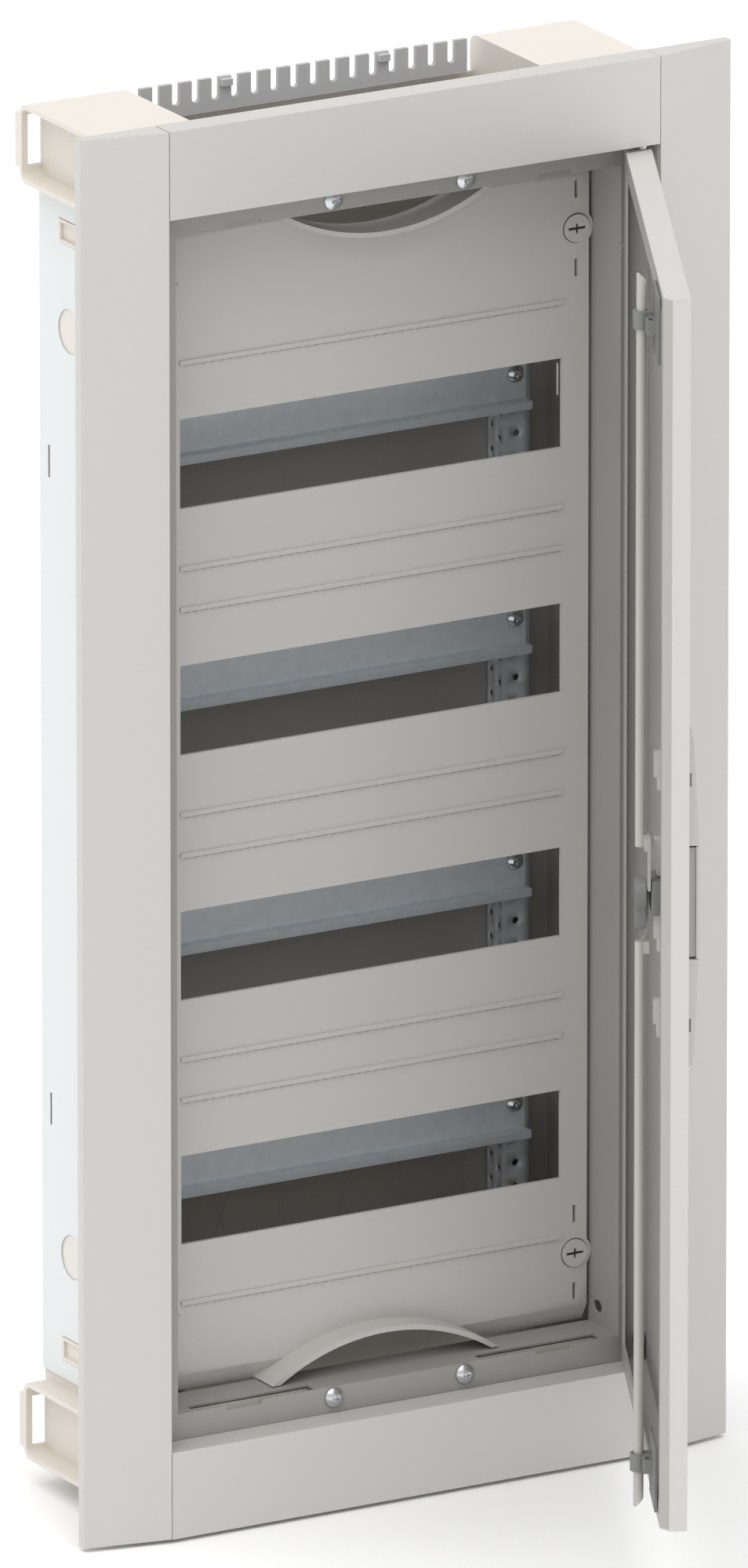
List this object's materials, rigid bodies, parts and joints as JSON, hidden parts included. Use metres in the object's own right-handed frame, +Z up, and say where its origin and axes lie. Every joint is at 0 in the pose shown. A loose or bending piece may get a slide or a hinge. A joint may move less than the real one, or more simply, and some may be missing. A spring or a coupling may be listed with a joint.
{
  "type": "distribution board cabinet",
  "caption": "Flush wall-mounted distribution cabinet with rows of mounting rail behind a slotted cover, a sloped face frame, and a hinged door with a rod lock.",
  "frame": {"origin": "middle of the rear face of the housing", "axes": "+X right and +Z up as seen from the front, +Y into the wall"},
  "size_m": [0.3638, 0.3569, 0.7146],
  "materials": {
    "frame_paint": "satin",
    "shell_paint": "satin",
    "cap_plastic": "moulded",
    "liner_plastic": "moulded",
    "cover_plastic": "moulded",
    "grey_plastic": "moulded",
    "comb_plastic": "moulded",
    "rod_paint": "satin",
    "zinc": "galvanised",
    "steel": "plated",
    "brass": "plain"
  },
  "bodies": {
    "cabinet": {"frame_strip_left": "frame_paint", "frame_strip_right": "frame_paint", "frame_strip_top": "frame_paint", "frame_strip_bottom": "frame_paint", "inner_frame": "liner_plastic", "frame_screw_top_left": "steel", "frame_screw_top_right": "steel", "frame_screw_bottom_left": "steel", "frame_screw_bottom_right": "steel", "rear_housing": "shell_paint", "end_cap_top": "cap_plastic", "cable_comb_top": "comb_plastic", "entry_plate_top": "comb_plastic", "end_cap_bottom": "cap_plastic", "cable_comb_bottom": "comb_plastic", "entry_plate_bottom": "comb_plastic", "upright_left": "zinc", "upright_right": "zinc", "mounting_rail_1": "zinc", "rail_screw_1_left": "steel", "rail_screw_1_right": "steel", "mounting_rail_2": "zinc", "rail_screw_2_left": "steel", "rail_screw_2_right": "steel", "mounting_rail_3": "zinc", "rail_screw_3_left": "steel", "rail_screw_3_right": "steel", "mounting_rail_4": "zinc", "rail_screw_4_left": "steel", "rail_screw_4_right": "steel", "neutral_bar": "brass", "earth_bar": "brass", "inner_cover": "cover_plastic", "cover_post_top_left": "grey_plastic", "cover_post_top_right": "grey_plastic", "cover_post_bottom_left": "grey_plastic", "cover_post_bottom_right": "grey_plastic", "hinge_plate_top": "liner_plastic", "latch_pin_top": "steel", "hinge_plate_bottom": "liner_plastic", "latch_pin_bottom": "steel"},
    "door": {"door_panel": "frame_paint", "handle_plate": "frame_paint", "lock_case": "grey_plastic", "rod_guide_top": "grey_plastic", "rod_guide_bottom": "grey_plastic", "hinge_pin_top": "steel", "hinge_pin_bottom": "steel"},
    "handle": {"handle_lever": "frame_paint"},
    "cam": {"lock_cam": "grey_plastic"},
    "rod_top": {"lock_rod_top": "rod_paint"},
    "rod_bottom": {"lock_rod_bottom": "rod_paint"},
    "cover_lock_top_left": {"cover_lock_top_left": "cover_plastic"},
    "cover_lock_top_right": {"cover_lock_top_right": "cover_plastic"},
    "cover_lock_bottom_left": {"cover_lock_bottom_left": "cover_plastic"},
    "cover_lock_bottom_right": {"cover_lock_bottom_right": "cover_plastic"}
  },
  "joints": [
    {"name": "door_hinge", "type": "hinge", "parent": "cabinet", "child": "door", "pos_m": [0.1293, -0.11335, 0], "axis": [0, 0, 1], "range_deg": [-63.75, 51.25]},
    {"name": "handle_lift", "type": "hinge", "parent": "door", "child": "handle", "pos_m": [0.04675, -0.30076, 0], "axis": [0, 0, 1], "range_deg": [0, 35]},
    {"name": "cam_turn", "type": "hinge", "parent": "door", "child": "cam", "pos_m": [0.0172, -0.30448, 0], "axis": [-0.8969, 0.4423, 0], "range_deg": [0, 61]},
    {"name": "rod_top_slide", "type": "slide", "parent": "door", "child": "rod_top", "axis": [0, 0, -1], "range_m": [0, 0.0141]},
    {"name": "rod_bottom_slide", "type": "slide", "parent": "door", "child": "rod_bottom", "axis": [0, 0, 1], "range_m": [0, 0.0141]},
    {"name": "cover_lock_turn_top_left", "type": "hinge", "parent": "cabinet", "child": "cover_lock_top_left", "pos_m": [-0.115, -0.0744, 0.2626], "axis": [0, 1, 0], "range_deg": [0, 90]},
    {"name": "cover_lock_turn_top_right", "type": "hinge", "parent": "cabinet", "child": "cover_lock_top_right", "pos_m": [0.115, -0.0744, 0.2626], "axis": [0, 1, 0], "range_deg": [0, 90]},
    {"name": "cover_lock_turn_bottom_left", "type": "hinge", "parent": "cabinet", "child": "cover_lock_bottom_left", "pos_m": [-0.115, -0.0744, -0.2626], "axis": [0, 1, 0], "range_deg": [0, 90]},
    {"name": "cover_lock_turn_bottom_right", "type": "hinge", "parent": "cabinet", "child": "cover_lock_bottom_right", "pos_m": [0.115, -0.0744, -0.2626], "axis": [0, 1, 0], "range_deg": [0, 90]}
  ],
  "couplings": [
    {"joint": "cam_turn", "follows": "handle_lift", "ratio": 1.7428},
    {"joint": "rod_top_slide", "follows": "handle_lift", "m_per_rad": 0.02308},
    {"joint": "rod_bottom_slide", "follows": "handle_lift", "m_per_rad": 0.02308}
  ]
}
